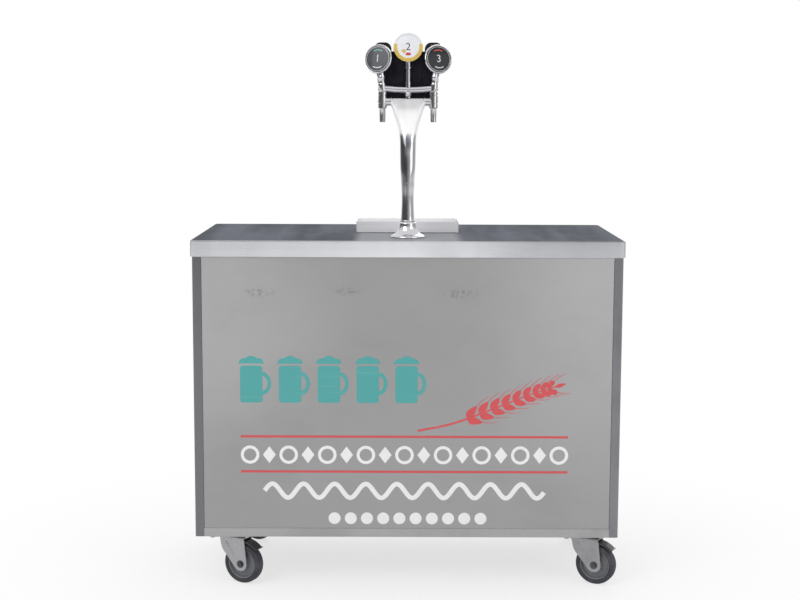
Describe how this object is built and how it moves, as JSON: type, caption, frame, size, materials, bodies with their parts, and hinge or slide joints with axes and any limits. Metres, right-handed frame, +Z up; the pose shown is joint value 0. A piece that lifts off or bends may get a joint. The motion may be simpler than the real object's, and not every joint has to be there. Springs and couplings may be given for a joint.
{
  "type": "jockey box beer cooler",
  "caption": "Wheeled stainless draught bar with an ice-cooled plate inside and a chrome tap tower with round medallions on top.",
  "frame": {"origin": "on the floor, under the middle of the counter's outline", "axes": "+X to the right as the customer sees the bar, +Y from the customer to the bartender, +Z up"},
  "size_m": [1.2, 0.6, 1.5558],
  "materials": {
    "satin_steel": "satin, brushed",
    "post_steel": "polished tube",
    "counter_steel": "dark polished sheet",
    "chrome": "mirror",
    "medallion_face": "printed and lacquered",
    "grip_plastic": "gloss black",
    "backplate_lacquer": "black lacquer",
    "core_board": "plywood",
    "tub_plastic": "moulded, foam filled",
    "cast_plate": "cast",
    "hose_sleeve": "closed-cell foam sleeve",
    "castor_steel": "bright zinc plated",
    "grey_tyre": "matt grey",
    "pedal_plastic": "black",
    "brass": "machined",
    "lever_paint": "red dipped",
    "catch_plastic": "white"
  },
  "bodies": {
    "bar": {"castor_bearers": "satin_steel", "castor_plates": "castor_steel", "cold_plate": "cast_plate", "counter_core": "core_board", "counter_skin": "counter_steel", "drain_valve": "brass", "floor_pan": "satin_steel", "frame_posts": "post_steel", "frame_rails": "satin_steel", "front_panel": "satin_steel", "hinge_frame_leaves": "satin_steel", "lid_hinge_leaf": "satin_steel", "line_fittings": "brass", "magnet_catches": "catch_plastic", "manifold": "chrome", "medallion_backplate": "backplate_lacquer", "medallion_cups": "chrome", "medallion_discs": "medallion_face", "medallion_trident": "chrome", "outlet_barrels": "chrome", "python_hose": "hose_sleeve", "side_panels": "satin_steel", "taps": "chrome", "tower_column": "chrome", "tower_foot": "chrome", "tower_nut": "brass", "tub_deck": "tub_plastic", "tub_liner": "satin_steel", "tub_shell": "tub_plastic"},
    "door_left": {"door_left": "satin_steel", "door_handle_left": "satin_steel", "hinge_leaf_left": "satin_steel"},
    "door_right": {"door_right": "satin_steel", "door_handle_right": "satin_steel", "hinge_leaf_right": "satin_steel"},
    "tub_lid": {"tub_lid": "tub_plastic"},
    "drain_lever": {"drain_lever": "lever_paint"},
    "drip_tray": {"drip_tray": "satin_steel"},
    "drip_grille": {"drip_grille": "satin_steel"},
    "lever_left": {"tap_lever_left": "chrome", "lever_grip_left": "grip_plastic"},
    "lever_centre": {"tap_lever_centre": "chrome", "lever_grip_centre": "grip_plastic"},
    "lever_right": {"tap_lever_right": "chrome", "lever_grip_right": "grip_plastic"},
    "fork_front_left": {"castor_fork_front_left": "castor_steel"},
    "wheel_front_left": {"wheel_front_left": "grey_tyre"},
    "pedal_front_left": {"brake_pedal_front_left": "pedal_plastic"},
    "fork_front_right": {"castor_fork_front_right": "castor_steel"},
    "wheel_front_right": {"wheel_front_right": "grey_tyre"},
    "pedal_front_right": {"brake_pedal_front_right": "pedal_plastic"},
    "fork_rear_left": {"castor_fork_rear_left": "castor_steel"},
    "wheel_rear_left": {"wheel_rear_left": "grey_tyre"},
    "fork_rear_right": {"castor_fork_rear_right": "castor_steel"},
    "wheel_rear_right": {"wheel_rear_right": "grey_tyre"}
  },
  "joints": [
    {"name": "door_left_hinge", "type": "hinge", "parent": "bar", "child": "door_left", "pos_m": [-0.5695, 0.266, 0.547], "axis": [0, 0, 1], "range_deg": [0, 165]},
    {"name": "door_right_hinge", "type": "hinge", "parent": "bar", "child": "door_right", "pos_m": [0.5695, 0.266, 0.547], "axis": [0, 0, -1], "range_deg": [0, 165]},
    {"name": "tub_lid_hinge", "type": "hinge", "parent": "bar", "child": "tub_lid", "pos_m": [-0.341, -0.237, 0.5045], "axis": [1, 0, 0], "range_deg": [0, 75]},
    {"name": "drain_valve_turn", "type": "hinge", "parent": "bar", "child": "drain_lever", "pos_m": [-0.26, 0.185, 0.221], "axis": [0, 0, 1], "range_deg": [0, 90]},
    {"name": "drip_tray_lift", "type": "slide", "parent": "bar", "child": "drip_tray", "axis": [0, 0, 1], "range_m": [0, 0.15]},
    {"name": "drip_grille_lift", "type": "slide", "parent": "drip_tray", "child": "drip_grille", "axis": [0, 0, 1], "range_m": [0, 0.05]},
    {"name": "tap_left_pull", "type": "hinge", "parent": "bar", "child": "lever_left", "pos_m": [-0.073, -0.005, 1.384], "axis": [-1, 0, 0], "range_deg": [0, 40]},
    {"name": "tap_centre_pull", "type": "hinge", "parent": "bar", "child": "lever_centre", "pos_m": [0, -0.005, 1.384], "axis": [-1, 0, 0], "range_deg": [0, 40]},
    {"name": "tap_right_pull", "type": "hinge", "parent": "bar", "child": "lever_right", "pos_m": [0.073, -0.005, 1.384], "axis": [-1, 0, 0], "range_deg": [0, 40]},
    {"name": "swivel_front_left", "type": "hinge", "parent": "bar", "child": "fork_front_left", "pos_m": [-0.501, -0.24, 0.139], "axis": [0, 0, 1], "continuous": true},
    {"name": "roll_front_left", "type": "hinge", "parent": "fork_front_left", "child": "wheel_front_left", "pos_m": [-0.46235, -0.25885, 0.0575], "axis": [0.4384, 0.8988, 0], "continuous": true},
    {"name": "brake_front_left", "type": "hinge", "parent": "fork_front_left", "child": "pedal_front_left", "pos_m": [-0.46542, -0.25735, 0.12266], "axis": [0.4384, 0.8988, 0], "range_deg": [0, 4]},
    {"name": "swivel_front_right", "type": "hinge", "parent": "bar", "child": "fork_front_right", "pos_m": [0.501, -0.24, 0.139], "axis": [0, 0, 1], "continuous": true},
    {"name": "roll_front_right", "type": "hinge", "parent": "fork_front_right", "child": "wheel_front_right", "pos_m": [0.53965, -0.25885, 0.0575], "axis": [0.4384, 0.8988, 0], "continuous": true},
    {"name": "brake_front_right", "type": "hinge", "parent": "fork_front_right", "child": "pedal_front_right", "pos_m": [0.53658, -0.25735, 0.12266], "axis": [0.4384, 0.8988, 0], "range_deg": [0, 4]},
    {"name": "swivel_rear_left", "type": "hinge", "parent": "bar", "child": "fork_rear_left", "pos_m": [-0.501, 0.2, 0.139], "axis": [0, 0, 1], "continuous": true},
    {"name": "roll_rear_left", "type": "hinge", "parent": "fork_rear_left", "child": "wheel_rear_left", "pos_m": [-0.46235, 0.18115, 0.0575], "axis": [0.4384, 0.8988, 0], "continuous": true},
    {"name": "swivel_rear_right", "type": "hinge", "parent": "bar", "child": "fork_rear_right", "pos_m": [0.501, 0.2, 0.139], "axis": [0, 0, 1], "continuous": true},
    {"name": "roll_rear_right", "type": "hinge", "parent": "fork_rear_right", "child": "wheel_rear_right", "pos_m": [0.53965, 0.18115, 0.0575], "axis": [0.4384, 0.8988, 0], "continuous": true}
  ]
}
